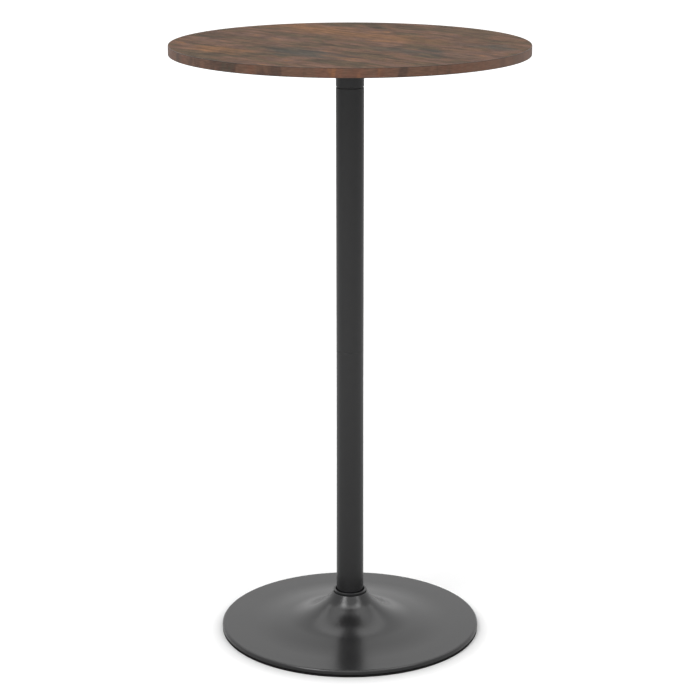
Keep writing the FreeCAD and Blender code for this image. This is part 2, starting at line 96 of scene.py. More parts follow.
def object_place(tree, centre=(0, 0, 0), turn=0.0, scale=(1, 1, 1)):
    """Where a point of the piece lies, in metres, in a pattern that is moved, turned and stretched."""
    place = step(tree, "ShaderNodeTexCoord", {})
    return step(tree, "ShaderNodeMapping", {"Vector": place.outputs["Object"], "Location": centre,
                                            "Rotation": (0, 0, turn), "Scale": scale})


def noise(tree, place, scale, detail, roughness=0.5, distortion=0.0):
    """A cloudy pattern through the piece."""
    return step(tree, "ShaderNodeTexNoise", {"Vector": place, "Scale": scale, "Detail": detail,
                                             "Roughness": roughness, "Distortion": distortion})


def grain_bump(tree, shader, height, strength, depth_mm):
    """Raise the surface by a pattern, to a depth in millimetres."""
    bump = step(tree, "ShaderNodeBump", {"Height": height, "Strength": strength,
                                         "Distance": depth_mm * MM})
    tree.links.new(bump.outputs["Normal"], shader.inputs["Normal"])


def new_maker(name, **sockets):
    """A tree that makes a mesh, with its input sockets by their name and kind."""
    tree = bpy.data.node_groups.new(name, "GeometryNodeTree")
    for label, kind in sockets.items():
        tree.interface.new_socket(label, in_out="INPUT", socket_type=f"NodeSocket{kind}")
    tree.interface.new_socket("mesh", in_out="OUTPUT", socket_type="NodeSocketGeometry")
    return tree, tree.nodes.new("NodeGroupInput").outputs


def ends_as(tree, geometry, finish):
    """End a tree with real faces in one finish."""
    real = step(tree, "GeometryNodeRealizeInstances", {"Geometry": geometry})
    done = step(tree, "GeometryNodeSetMaterial", {"Geometry": real, "Material": finish})
    out = tree.nodes.new("NodeGroupOutput")
    tree.links.new(done.outputs[0], out.inputs[0])


def turning_tree():
    """Turn an outline of (radius, height) corners round the upright axis, after bending its corners."""
    tree, size = new_maker("turned_round", outline="Geometry", bend_facets="Int", round_facets="Int",
                           finish="Material")
    outline = step(tree, "GeometryNodeMeshToCurve", {"Mesh": size["outline"]})
    bend = step(tree, "GeometryNodeInputNamedAttribute", {"Name": "bend"}, data_type="FLOAT")
    is_bent = reckon(tree, "GREATER_THAN", bend)
    facets = reckon(tree, "MULTIPLY", is_bent, size["bend_facets"])
    bent = step(tree, "GeometryNodeFilletCurve", {"Curve": outline, "Count": facets, "Radius": bend},
                mode="POLY")
    rail_radius = 1.0
    laid = step(tree, "GeometryNodeTransform", {"Geometry": bent, "Translation": (-rail_radius, 0, 0),
                                                "Rotation": (math.radians(90), 0, 0)})
    rail = step(tree, "GeometryNodeCurvePrimitiveCircle", {"Resolution": size["round_facets"],
                                                           "Radius": rail_radius})
    skin = step(tree, "GeometryNodeCurveToMesh", {"Curve": rail, "Profile Curve": laid})
    closed = step(tree, "GeometryNodeMergeByDistance", {"Geometry": skin, "Distance": 1e-6})
    angle = step(tree, "GeometryNodeInputMeshEdgeAngle", {})
    is_edge = reckon(tree, "GREATER_THAN", angle, math.radians(30))
    smooth = step(tree, "GeometryNodeSetShadeSmooth", {"Geometry": closed, "Shade Smooth": True})
    edged = step(tree, "GeometryNodeSetShadeSmooth", {"Geometry": smooth, "Selection": is_edge,
                                                      "Shade Smooth": False}, domain="EDGE")
    ends_as(tree, edged, size["finish"])
    return tree


def made_by(tree, name, host_mesh, **sizes):
    """The plain object that a tree makes of a mesh, its long faces shaded flat up to their edges."""
    piece = bpy.data.objects.new(name, host_mesh)
    bpy.context.scene.collection.objects.link(piece)
    maker = piece.modifiers.new(name, "NODES")
    maker.node_group = tree
    for socket in tree.interface.items_tree:
        if socket.name in sizes:
            maker[socket.identifier] = sizes[socket.name]
    fair = piece.modifiers.new("fair_shading", "WEIGHTED_NORMAL")
    fair.weight = 100
    fair.keep_sharp = True
    seen = piece.evaluated_get(bpy.context.evaluated_depsgraph_get())
    plain = bpy.data.meshes.new_from_object(seen)
    piece.modifiers.clear()
    piece.data = plain
    plain.name = name
    return piece


turned_round = turning_tree()


def turned(name, corners, finish, bend_facets=8, round_facets=192):
    """A turned piece from (radius, height, bend) corners in millimetres.

    The corners run over the top outwards and back underneath; from axis to axis for a solid piece.
    """
    outline = bpy.data.meshes.new(f"{name}_outline")
    count = len(corners)
    edges = [(corner, corner + 1) for corner in range(count - 1)]
    if corners[0][0] > 0:
        edges.append((count - 1, 0))
    outline.from_pydata([(corner[0] * MM, 0, corner[1] * MM) for corner in corners], edges, [])
    bends = outline.attributes.new("bend", "FLOAT", "POINT")
    bends.data.foreach_set("value", [corner[2] * MM if len(corner) > 2 else 0.0 for corner in corners])
    return made_by(turned_round, name, outline, bend_facets=bend_facets, round_facets=round_facets,
                   finish=finish)


def stands_for(piece, name):
    """The piece takes the place of the CAD node of this name."""
    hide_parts(name)
    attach(piece, "root")


black_rubber, tree, shader = new_finish("black_rubber", (0.005, 0.005, 0.0052), 0.7)
shader.inputs["Specular IOR Level"].default_value = 0.2
pores = noise(tree, object_place(tree), 1400, 3)
grain_bump(tree, shader, pores, strength=0.35, depth_mm=0.08)

ring_r, ring_low, ring_high = extent("floor_ring")
ring_width, ring_round = 7, 0.6
floor_ring = turned("rubber_floor_ring", [(ring_r - ring_width, ring_high),
                                          (ring_r, ring_high, 0.2),
                                          (ring_r, ring_low, ring_round),
                                          (ring_r - ring_width, ring_low, 0.3)], black_rubber)
stands_for(floor_ring, "floor_ring")


# ---------------------------------------------------------------- base shell
# Trumpet spun from one 1.2 mm steel sheet: a steep neck, a hollow flare, a crown that hardly
# slopes, a rolled rim and a hem turned in underneath.  It is powder coated in satin black.

def rescaled(tree, value, low, high, new_low, new_high):
    """A value's range laid over a new one."""
    made = step(tree, "ShaderNodeMapRange", {"Value": value, "From Min": low, "From Max": high,
                                             "To Min": new_low, "To Max": new_high})
    return made.outputs["Result"]


def powder_coat(name, black, roughness):
    """Satin black powder coat: a fine orange peel, with duller and glossier clouds a hand wide."""
    finish, tree, shader = new_finish(name, (black, black, black * 1.04), roughness)
    clouds = noise(tree, object_place(tree), 14, 4)
    gloss = rescaled(tree, clouds, 0.3, 0.7, roughness - 0.02, roughness + 0.02)
    tree.links.new(gloss, shader.inputs["Roughness"])
    peel = noise(tree, object_place(tree), 650, 3, roughness=0.6)
    grain_bump(tree, shader, peel, strength=0.4, depth_mm=0.08)
    return finish


spun_coat = powder_coat("black_powder_coat_spun", 0.0106, 0.245)

rim_r, hem_z, lip_z = extent("base_shell")
column_r = extent("lower_tube")[0]
shell_wall = 1.2
mouth_gap, lip_width, hem_width, rim_height = 3.4, 3, 16, 9.4
mouth_r = column_r + mouth_gap
neck_r = mouth_r + lip_width
rim_z = hem_z + rim_height
outer_face = [(neck_r, lip_z, 1.6),
              (neck_r + 10.1, lip_z - 14.2, 55),
              (78.6, hem_z + 18.7, 116),
              (160, rim_z + 0.4, 400),
              (rim_r, rim_z, 4),
              (rim_r, hem_z, 3.4),
              (rim_r - hem_width, hem_z)]


def one_wall_inside(corners, wall):
    """The same bent line one wall further in, its hollows grown and its crests shrunk by the wall."""
    inner = []
    for before, corner, after in zip(corners, corners[1:], corners[2:]):
        into = Vector((corner[0] - before[0], corner[1] - before[1])).normalized()
        away = Vector((after[0] - corner[0], after[1] - corner[1])).normalized()
        side = (Vector((into.y, -into.x)) + Vector((away.y, -away.x))).normalized()
        depth = wall / side.dot(Vector((into.y, -into.x)))
        is_hollow = into.cross(away) > 0
        bend = corner[2] + wall if is_hollow else max(corner[2] - wall, 0.2)
        inner.append((corner[0] + side.x * depth, corner[1] + side.y * depth, bend))
    return inner


inner_face = one_wall_inside([(mouth_r, lip_z, 0)] + outer_face, shell_wall)
shell_corners = ([(mouth_r, lip_z)] + outer_face + [(rim_r - hem_width, hem_z + shell_wall)]
                 + inner_face[::-1] + [(mouth_r, lip_z - shell_wall)])
base_shell = turned("spun_base_shell", shell_corners, spun_coat, bend_facets=24, round_facets=256)
stands_for(base_shell, "base_shell")


# ---------------------------------------------------------------- ballast plate and support cone
# A heavy disc cut from hot-rolled plate lies in the base, and a hat pressed from 2.5 mm sheet stands
# on it as the column's seat.  Both have the same black powder coat as the outside, only thinner.

black_coat = powder_coat("black_powder_coat", 0.012, 0.25)


def recoat(finish, *names):
    """Give a better finish to CAD nodes that are shown as they are."""
    for name in names:
        node[name].material_slots[0].material = finish


recoat(black_coat, "ballast_plate", "support_cone")


# ---------------------------------------------------------------- cone screws
# Four M6 hexagon screws hold the cone's flange to the ballast plate.  They are forged, zinc plated
# and chamfered on top, and each has stopped at an angle of its own.

def blend(tree, kind, share, below, above):
    """Two colours mixed by a share, in one of the mixing ways."""
    made = step(tree, "ShaderNodeMix", {0: share, 6: below, 7: above}, data_type="RGBA", blend_type=kind)
    return made.outputs[2]


zinc_plate, tree, shader = new_finish("zinc_plated_steel", (0.62, 0.62, 0.6), 0.3)
shader.inputs["Metallic"].default_value = 1.0
cloud = noise(tree, object_place(tree), 160, 4)
tone = blend(tree, "MIX", cloud, (0.50, 0.51, 0.53, 1), (0.72, 0.70, 0.64, 1))
tree.links.new(tone, shader.inputs["Base Color"])
tree.links.new(rescaled(tree, cloud, 0, 1, 0.22, 0.42), shader.inputs["Roughness"])


def round_axis(radius, angle, level):
    """The point at this radius, angle and level in millimetres."""
    return radius * math.cos(angle) * MM, radius * math.sin(angle) * MM, level * MM


def finished(mesh, name):
    """A mesh under construction made ready for use, its faces turned outwards."""
    bmesh.ops.recalc_face_normals(mesh, faces=mesh.faces)
    made = bpy.data.meshes.new(name)
    mesh.to_mesh(made)
    mesh.free()
    return made


def stacked(name, rings, facets=72, hollow=False):
    """A closed mesh through rings of points; each ring gives (radius, height) in mm for an angle.

    A solid starts and ends on the axis; a hollow one joins its last ring to its first.
    """
    mesh = bmesh.new()
    angles = [math.tau * facet / facets for facet in range(facets)]
    rows = []
    for ring in rings:
        spots = [ring(angle) if callable(ring) else ring for angle in angles]
        rows.append([mesh.verts.new(round_axis(radius, angle, level))
                     for angle, (radius, level) in zip(angles, spots)])
    if hollow:
        rows.append(rows[0])
    for low, high in zip(rows, rows[1:]):
        for facet in range(facets):
            after = (facet + 1) % facets
            mesh.faces.new((low[facet], low[after], high[after], high[facet]))
    bmesh.ops.remove_doubles(mesh, verts=mesh.verts, dist=1e-7)
    return finished(mesh, name)


def hexagon(flats, angle):
    """How far a hexagon of this width across flats reaches at an angle."""
    sixth = math.pi / 3
    return flats / 2 / math.cos((angle + sixth / 2) % sixth - sixth / 2)


def hex_head(flats, seat, top):
    """Rings of a hexagon head from its washer face over its 30 degree chamfer to its top centre."""
    up = 1 if top > seat else -1
    face_r, flat_r, fall = 0.49 * flats, 0.475 * flats, math.tan(math.radians(30))

    def shoulder(angle):
        reach = hexagon(flats, angle)
        return reach, top - up * (reach - flat_r) * fall

    return [(face_r, seat),
            lambda angle: (hexagon(flats, angle) - 0.15, seat + up * 0.2),
            lambda angle: (hexagon(flats, angle), seat + up * 0.4),
            shoulder,
            (flat_r, top),
            (0, top)]


def thread(radius, pitch, low, high, rises=6):
    """Rings of an external thread between two levels, its crests faded out at both ends."""
    depth, worn, crest_flat = 0.61 * pitch, 0.35 * pitch, 0.1
    count = round((high - low) / pitch * rises)

    def ring_at(level):
        fade = max(0.0, min(1.0, (level - low) / pitch, (high - level) / pitch))

        def ring(angle):
            wave = abs(((level / pitch - angle / math.tau) % 1) * 2 - 1)
            cut = min(1.0, max(0.0, (wave - crest_flat) / (1 - 2 * crest_flat)))
            return radius - depth * fade * cut - worn * (1 - fade), level

        return ring

    return [ring_at(low + (high - low) * rise / count) for rise in range(count + 1)]


def fourfold_tree():
    """Set four copies of a fastener round the table's axis, each turned on its own axis by chance."""
    tree, size = new_maker("four_round_the_axis", fastener="Geometry", centre_distance="Float",
                           first_angle="Float", turn_seed="Int", finish="Material")
    corners = step(tree, "GeometryNodeMeshCircle", {"Vertices": 4, "Radius": size["centre_distance"]})
    first = step(tree, "ShaderNodeCombineXYZ", {"Z": size["first_angle"]})
    places = step(tree, "GeometryNodeTransform", {"Geometry": corners, "Rotation": first})
    chance = step(tree, "FunctionNodeRandomValue", {3: math.tau, "Seed": size["turn_seed"]},
                  data_type="FLOAT")
    spin = step(tree, "ShaderNodeCombineXYZ", {"Z": chance.outputs[1]})
    copies = step(tree, "GeometryNodeInstanceOnPoints", {"Points": places, "Instance": size["fastener"],
                                                         "Rotation": spin})
    ends_as(tree, copies, size["finish"])
    return tree


four_round_the_axis = fourfold_tree()


def smooth_to_edges(mesh):
    """Shade a small part smooth between its edges."""
    mesh.shade_smooth()
    mesh.set_sharp_from_angle(angle=math.radians(28))


def four_of(name, mesh, centre_distance, first_angle, finish, seed):
    """Four of a small part round the axis."""
    smooth_to_edges(mesh)
    return made_by(four_round_the_axis, name, mesh, centre_distance=centre_distance * MM,
                   first_angle=first_angle, turn_seed=seed, finish=finish)


screw_low, screw_high = levels("cone_screws")
screw_flats, screw_head, screw_r = 10, 4, 3
m6_pitch, m6_point = 1.0, 0.5
screw_seat = screw_high - screw_head
screw_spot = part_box("cone_screws")[1].x / MM - screw_flats / math.sqrt(3)
cone_screw = stacked("cone_screw", [(0, screw_low), (screw_r - m6_point, screw_low)]
                     + thread(screw_r, m6_pitch, screw_low + 0.1, screw_seat - 0.6)
                     + [(screw_r, screw_seat)]
                     + hex_head(screw_flats, screw_seat, screw_high))
cone_screws = four_of("hex_cone_screws", cone_screw, screw_spot, 0, zinc_plate, seed=3)
stands_for(cone_screws, "cone_screws")


# ---------------------------------------------------------------- base bolt and its washers
# One M12 hexagon bolt comes up through the cone's seat and draws the column down on it.  A split
# washer lies on the bolt's head and a wide flat washer under the seat, all of them zinc plated.

def flat_washer(outer, bore, low, high):
    """Corners of a stamped washer: its punched side is rolled over, its other side is sharp."""
    return [(bore, high), (outer, high, 0.15), (outer, low, 0.35), (bore, low, 0.25)]


def split_ring(name, outer, bore, low, high, facets):
    """A coiled washer of square wire with a slanting cut through it, in millimetres."""
    slit, lean, ease = 1.4, 0.35, 0.08 * (high - low)
    section = [(bore, low + ease), (bore + ease, low), (outer - ease, low), (outer, low + ease),
               (outer, high - ease), (outer - ease, high), (bore + ease, high), (bore, high - ease)]
    mesh = bmesh.new()
    rows = []
    for facet in range(facets + 1):
        row = []
        for radius, level in section:
            slant = slit / 2 + (level - (low + high) / 2) * lean * (1 if facet == 0 else -1)
            gap = slant / radius if facet in (0, facets) else slit / 2 / radius
            share = facet / facets
            angle = gap * (1 - share) + (math.tau - gap) * share
            row.append(mesh.verts.new(round_axis(radius, angle, level)))
        rows.append(row)
    for low_row, high_row in zip(rows, rows[1:]):
        for corner in range(len(section)):
            after = (corner + 1) % len(section)
            mesh.faces.new((low_row[corner], low_row[after], high_row[after], high_row[corner]))
    mesh.faces.new(rows[0])
    mesh.faces.new(rows[-1])
    return finished(mesh, name)


def one_of(name, mesh, finish):
    """One small part on the axis."""
    smooth_to_edges(mesh)
    mesh.materials.append(finish)
    piece = bpy.data.objects.new(name, mesh)
    bpy.context.scene.collection.objects.link(piece)
    return piece


bolt_low, bolt_high = levels("base_bolt")
bolt_flats, bolt_head, bolt_r, bolt_hole_r = 19, 7.5, 6, 6.5
m12_pitch, m12_point = 1.75, 1.2
bolt_seat = bolt_low + bolt_head
bolt_rings = (hex_head(bolt_flats, bolt_seat, bolt_low)[::-1] + [(bolt_r, bolt_seat)]
              + thread(bolt_r, m12_pitch, bolt_seat + 1.5, bolt_high - 0.2)
              + [(bolt_r - m12_point, bolt_high), (0, bolt_high)])
base_bolt = one_of("hex_base_bolt", stacked("base_bolt", bolt_rings), zinc_plate)
stands_for(base_bolt, "base_bolt")

washer_r, washer_low, washer_high = extent("base_flat_washer")
base_washer = turned("flat_base_washer", flat_washer(washer_r, bolt_hole_r, washer_low, washer_high),
                     zinc_plate, bend_facets=4, round_facets=96)
stands_for(base_washer, "base_flat_washer")

spring_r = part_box("base_spring_washer")[1].y / MM
base_coil = split_ring("base_coil", spring_r, bolt_hole_r, *levels("base_spring_washer"), facets=60)
base_spring = one_of("split_base_washer", base_coil, zinc_plate)
stands_for(base_spring, "base_spring_washer")


# ---------------------------------------------------------------- trim ring
# Moulded black plastic ring that hides the mouth of the neck.  Its sleeve sits in the mouth, a small
# shoulder stands on the steel lip, and a thin flange spreads over it with a dark groove below.

black_plastic, tree, shader = new_finish("black_plastic", (0.012, 0.012, 0.0125), 0.3)
spark = step(tree, "ShaderNodeTexVoronoi", {"Vector": object_place(tree), "Scale": 1800.0})
grain_bump(tree, shader, spark.outputs["Distance"], strength=0.12, depth_mm=0.03)

trim_low, trim_high = levels("trim_ring")
column_play, sleeve_play, shoulder_width, flange_width, flange_height = 2, 0.2, 0.6, 4, 2.3
trim_bore = column_r + column_play
sleeve_r = mouth_r - sleeve_play
shoulder_r = mouth_r + shoulder_width
flange_r = trim_bore + flange_width
trim_ring = turned("moulded_trim_ring", [(trim_bore, trim_high, 0.5),
                                         (flange_r, trim_high, 1),
                                         (flange_r, trim_high - flange_height, 0.5),
                                         (shoulder_r, trim_high - flange_height),
                                         (shoulder_r, lip_z),
                                         (sleeve_r, lip_z),
                                         (sleeve_r, trim_low, 0.3),
                                         (trim_bore, trim_low, 0.3)], black_plastic)
stands_for(trim_ring, "trim_ring")


# ---------------------------------------------------------------- column tubes
# Two equal lengths of 48 mm welded tube, powder coated, stand on each other and show as one slim
# post with a hair line halfway up.  Their ends are cut square and eased, then closed by a plug.

tube_wall, tube_ease = 1.5, 0.5


def tube(name, node_name):
    """A coated tube as long as its CAD node, both outer rims eased."""
    radius, low, high = extent(node_name)
    bore = radius - tube_wall
    piece = turned(name, [(bore, high, 0.2), (radius, high, tube_ease), (radius, low, tube_ease),
                          (bore, low, 0.2)], black_coat, bend_facets=6, round_facets=144)
    stands_for(piece, node_name)


tube("coated_lower_tube", "lower_tube")
tube("coated_upper_tube", "upper_tube")


# ---------------------------------------------------------------- plugs and studs
# A turned and tapped steel plug is welded flush into every tube end, and M12 studs join them: one
# between the two tubes, one between the upper tube and the collar.  They stay bare inside the column.

bare_steel, tree, shader = new_finish("bare_steel", (0.33, 0.325, 0.315), 0.38)
shader.inputs["Metallic"].default_value = 1.0
turning_marks = noise(tree, object_place(tree, scale=(60, 60, 2500)), 1, 3)
tree.links.new(rescaled(tree, turning_marks, 0, 1, 0.28, 0.5), shader.inputs["Roughness"])
grain_bump(tree, shader, turning_marks, strength=0.2, depth_mm=0.03)

recoat(bare_steel, "lower_tube_foot_plug", "lower_tube_top_plug", "upper_tube_foot_plug",
       "upper_tube_top_plug", "collar_plug")


def stud(name, node_name):
    """An M12 stud, threaded from end to end."""
    low, high = levels(node_name)
    rings = ([(0, low), (bolt_r - m12_point, low)] + thread(bolt_r, m12_pitch, low + 0.2, high - 0.2)
             + [(bolt_r - m12_point, high), (0, high)])
    stands_for(one_of(name, stacked(node_name, rings), bare_steel), node_name)


stud("threaded_middle_stud", "middle_stud")
stud("threaded_collar_stud", "collar_stud")


# ---------------------------------------------------------------- collar, its spacer and its weld
# The collar is a short piece of the same tube, welded all round under the mounting plate.  A thin
# nylon washer between it and the upper tube leaves a dark groove and keeps the coats apart.

tube("coated_collar", "collar_tube")

black_nylon, tree, shader = new_finish("black_nylon", (0.016, 0.016, 0.0165), 0.45)
flow = noise(tree, object_place(tree), 300, 2)
grain_bump(tree, shader, flow, strength=0.15, depth_mm=0.04)
spacer_r, spacer_low, spacer_high = extent("collar_spacer")
collar_spacer = turned("nylon_collar_spacer", [(bolt_hole_r, spacer_high), (spacer_r, spacer_high, 0.3),
                                               (spacer_r, spacer_low, 0.3), (bolt_hole_r, spacer_low)],
                       black_nylon, bend_facets=4, round_facets=128)
stands_for(collar_spacer, "collar_spacer")

weld_low, weld_high = levels("collar_weld")
weld_leg = weld_high - weld_low
ripples, ripple_slant, ripple_height, face_sag = 46, 0.35, 0.16, 0.13


def weld_point(share):
    """Ring of the bead's face at a share of its way from the plate to the tube, swollen by ripples."""
    hump = math.sin(share * math.pi)

    def ring(angle):
        ripple = (angle * ripples / math.tau + ripple_slant * hump) % 1
        swell = ripple_height * (0.55 + 0.45 * math.sin(ripple * math.pi))
        out = weld_leg * hump * (swell * math.sqrt(0.5) - face_sag)
        return column_r + weld_leg * (1 - share) + out, weld_high - weld_leg * share - out

    return ring


face_points = 7
weld_face = [weld_point(point / face_points) for point in range(face_points + 1)]
bead = stacked("collar_weld", [(column_r, weld_high)] + weld_face, facets=ripples * 8, hollow=True)
collar_weld = one_of("rippled_collar_weld", bead, black_coat)
stands_for(collar_weld, "collar_weld")


# ---------------------------------------------------------------- mounting plate and its fasteners
# Square 3 mm steel plate, laser cut with round corners and coated with the collar.  Four M6 screws
# with hexagon sockets go up through a split and a flat washer into flanged inserts in the board.

recoat(black_coat, "top_plate")
recoat(zinc_plate, "insert_nuts")

mount_low, mount_high = levels("top_screws")
mount_head_r, mount_head, mount_r, mount_hole_r = 5.5, 3.5, 3, 3.5
mount_seat = mount_low + mount_head
mount_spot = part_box("top_screws")[1].x / MM - mount_head_r
mount_distance, mount_angle = mount_spot * math.sqrt(2), math.radians(45)
socket_flats, socket_depth = 4, 2
crown_round = 1.6
crown = [(mount_head_r - crown_round * (1 - math.cos(turn)),
          mount_low + crown_round * (1 - math.sin(turn)))
         for turn in (math.radians(degrees) for degrees in range(0, 91, 15))]
socket_wall = [lambda angle: (hexagon(socket_flats, angle) + 0.2, mount_low),
               lambda angle: (hexagon(socket_flats, angle), mount_low + 0.2),
               lambda angle: (hexagon(socket_flats, angle), mount_low + socket_depth),
               (0, mount_low + socket_depth + 0.5)]
mount_screw = stacked("mount_screw", [(0, mount_high), (mount_r - m6_point, mount_high)]
                      + thread(mount_r, m6_pitch, mount_seat + 1, mount_high - 0.1)[::-1]
                      + [(mount_r, mount_seat), (mount_head_r, mount_seat)]
                      + crown + socket_wall)
top_screws = four_of("socket_mount_screws", mount_screw, mount_distance, mount_angle, zinc_plate, seed=5)
stands_for(top_screws, "top_screws")

small_washer_r, small_spring_r = 6.5, 5.2
profile = flat_washer(small_washer_r, mount_hole_r, *levels("top_flat_washers"))
small_washer = stacked("small_washer", [spot[:2] for spot in profile], facets=64, hollow=True)
top_washers = four_of("flat_mount_washers", small_washer, mount_distance, mount_angle, zinc_plate, seed=0)
stands_for(top_washers, "top_flat_washers")

small_coil = split_ring("small_coil", small_spring_r, mount_hole_r, *levels("top_spring_washers"),
                        facets=48)
top_springs = four_of("split_mount_washers", small_coil, mount_distance, mount_angle, zinc_plate, seed=8)
stands_for(top_springs, "top_spring_washers")


# ---------------------------------------------------------------- tabletop board
# Round 16 mm particle board with a paper laminate pressed on both faces.  The upper one carries a
# rustic brown wood print with a matte seal; the lower one is a plain brown backing sheet.

wood_print, tree, shader = new_finish("wood_print_board", (0.12, 0.072, 0.05), 0.6)
shader.inputs["Specular IOR Level"].default_value = 0.03
grain_turn = math.radians(45)
along_grain = object_place(tree, turn=grain_turn)


def streaks(tree, place, length_mm, width_mm, seed, detail=4, roughness=0.6, distortion=0.0):
    """Cloudy streaks of about this length and width, drawn out along the place's X axis."""
    scale = (1000 / length_mm, 1000 / width_mm, 1000 / width_mm)
    drawn = step(tree, "ShaderNodeMapping", {"Vector": place, "Location": (seed * 3.1, seed * 1.7, seed),
                                             "Scale": scale})
    return noise(tree, drawn, 1, detail, roughness, distortion)


def ramp(tree, value, *stops):
    """Colours laid out along a value by (position, colour) stops."""
    made = step(tree, "ShaderNodeValToRGB", {"Fac": value})
    made.color_ramp.interpolation = "EASE"
    for position, colour in stops[1:-1]:
        made.color_ramp.elements.new(position)
    for element, (position, colour) in zip(made.color_ramp.elements, stops):
        element.position = position
        element.color = (*colour, 1)
    return made.outputs[0]


def shaded(tree, colour, value, *stops):
    """A colour made darker or lighter by tints that are laid out along a value."""
    return blend(tree, "MULTIPLY", 1.0, colour, ramp(tree, value, *stops))


def stain(tree, place, below, x_mm, y_mm, length_mm, width_mm, share, colour):
    """A long stain of another colour along the grain, strongest in its middle, soft at its ends."""
    inside = step(tree, "ShaderNodeMapping", {"Vector": place, "Location": (x_mm * MM, y_mm * MM, 0),
                                              "Rotation": (0, 0, -grain_turn),
                                              "Scale": (length_mm / 2 * MM, width_mm / 2 * MM, 1000)},
                  vector_type="TEXTURE")
    fall = step(tree, "ShaderNodeTexGradient", {"Vector": inside}, gradient_type="SPHERICAL")
    return blend(tree, "MIX", rescaled(tree, fall, 0.0, 0.7, 0.0, share), below, (*colour, 1))


slate, umber, olive = (0.052, 0.049, 0.041), (0.062, 0.040, 0.027), (0.093, 0.064, 0.040)
mauve, walnut, tan = (0.133, 0.078, 0.057), (0.119, 0.067, 0.043), (0.200, 0.100, 0.048)
clouds = streaks(tree, along_grain, 110, 40, seed=1, distortion=0.6)
stained = ramp(tree, clouds, (0.30, umber), (0.42, olive), (0.50, walnut), (0.58, mauve), (0.70, tan))
wander = streaks(tree, along_grain, 60, 24, seed=2)
ragged_by = 0.16
shift = step(tree, "ShaderNodeVectorMath", {0: wander.outputs["Color"], 1: (0.5, 0.5, 0.5)},
             operation="SUBTRACT")
shift = step(tree, "ShaderNodeVectorMath", {0: shift, "Scale": ragged_by}, operation="SCALE")
ragged = step(tree, "ShaderNodeVectorMath", {0: object_place(tree), 1: shift}, operation="ADD")
for spot in ((-60, 200, 300, 120, 0.7, tan), (60, 80, 320, 110, 0.6, tan),
             (-220, -80, 150, 80, 0.8, tan), (-75, -130, 240, 120, 0.85, slate),
             (110, -120, 280, 90, 0.75, slate), (235, -55, 150, 65, 0.8, slate),
             (70, 260, 200, 90, 0.75, umber), (215, 160, 280, 100, 0.7, olive),
             (-245, 120, 170, 70, 0.75, umber), (-110, 40, 220, 90, 0.4, mauve),
             (200, -160, 200, 60, 0.5, mauve)):
    stained = stain(tree, ragged, stained, *spot)
mottle = streaks(tree, along_grain, 42, 17, seed=5)
mottled = shaded(tree, stained, mottle, (0.32, (0.70, 0.75, 0.79)), (0.68, (1.25, 1.22, 1.19)))
figure = streaks(tree, along_grain, 260, 3.2, seed=7, roughness=0.65, distortion=0.25)
figured = shaded(tree, mottled, figure, (0.36, (0.76, 0.76, 0.77)), (0.62, (1.18, 1.17, 1.16)))
years = step(tree, "ShaderNodeMapping", {"Vector": along_grain, "Scale": (1.6, 26, 26)})
year_lines = step(tree, "ShaderNodeTexWave", {"Vector": years, "Scale": 1.0, "Distortion": 5.0,
                                              "Detail": 4.0, "Detail Scale": 0.8,
                                              "Detail Roughness": 0.6},
                  bands_direction="Y", wave_profile="SAW")
lined = shaded(tree, figured, year_lines, (0.0, (0.62, 0.60, 0.58)), (0.10, (1.04, 1.04, 1.04)),
               (1.0, (0.98, 0.98, 0.98)))
pores = streaks(tree, along_grain, 11, 0.45, seed=9, detail=2, roughness=0.55)
printed = shaded(tree, lined, pores, (0.37, (0.60, 0.59, 0.58)), (0.44, (1.04, 1.04, 1.04)))
place = step(tree, "ShaderNodeSeparateXYZ", {"Vector": along_grain})
board_middle = sum(levels("tabletop_board")) / 2
is_upper = reckon(tree, "GREATER_THAN", place.outputs["Z"], board_middle * MM)
backing = (0.055, 0.036, 0.026, 1)
both_faces = blend(tree, "MIX", is_upper, backing, printed)
tree.links.new(both_faces, shader.inputs["Base Color"])
grain_bump(tree, shader, pores, strength=0.12, depth_mm=0.05)
recoat(wood_print, "tabletop_board")


# ---------------------------------------------------------------- edge band
# A 1 mm plastic strip, printed to go with the top, is glued round the board by a machine.  Its two
# rims are eased and carry a painted shade, and its ends meet in a butt joint at the back.

band_print, tree, shader = new_finish("edge_band_plastic", (0.14, 0.07, 0.045), 0.45)
shader.inputs["Specular IOR Level"].default_value = 0.3
mottle = noise(tree, object_place(tree, scale=(21, 21, 6)), 1, 4, roughness=0.62, distortion=0.3)
tones = ramp(tree, mottle, (0.34, (0.078, 0.062, 0.043)), (0.43, (0.090, 0.052, 0.038)),
             (0.52, (0.150, 0.082, 0.054)), (0.60, (0.158, 0.077, 0.050)),
             (0.70, (0.240, 0.106, 0.050)))
hairs = noise(tree, object_place(tree, scale=(90, 90, 700)), 1, 3)
banded = shaded(tree, tones, hairs, (0.35, (0.82, 0.82, 0.82)), (0.65, (1.16, 1.15, 1.14)))
paler = stain(tree, object_place(tree), banded, 250, -170, 300, 300, 0.55, (0.215, 0.125, 0.086))
band_r, band_low, band_high = extent("edge_band")
band_middle, half_height = (band_low + band_high) / 2, (band_high - band_low) / 2
place = step(tree, "ShaderNodeSeparateXYZ", {"Vector": object_place(tree)})
from_middle = reckon(tree, "ABSOLUTE", reckon(tree, "SUBTRACT", place.outputs["Z"], band_middle * MM))
# Painted shade: the band is darkened within 1.5 mm of its top and bottom rims; the dark line in the butt
# joint at the back is the joint's own colour.
rim_painted_shade = rescaled(tree, from_middle, (half_height - 1.5) * MM, (half_height - 0.5) * MM, 0.0, 0.75)
near_joint = rescaled(tree, reckon(tree, "ABSOLUTE", place.outputs["X"]), 0.1 * MM, 0.3 * MM, 0.8, 0.0)
in_joint = reckon(tree, "MULTIPLY", near_joint, reckon(tree, "GREATER_THAN", place.outputs["Y"]))
rim_shade_and_joint_line = reckon(tree, "MAXIMUM", rim_painted_shade, in_joint)
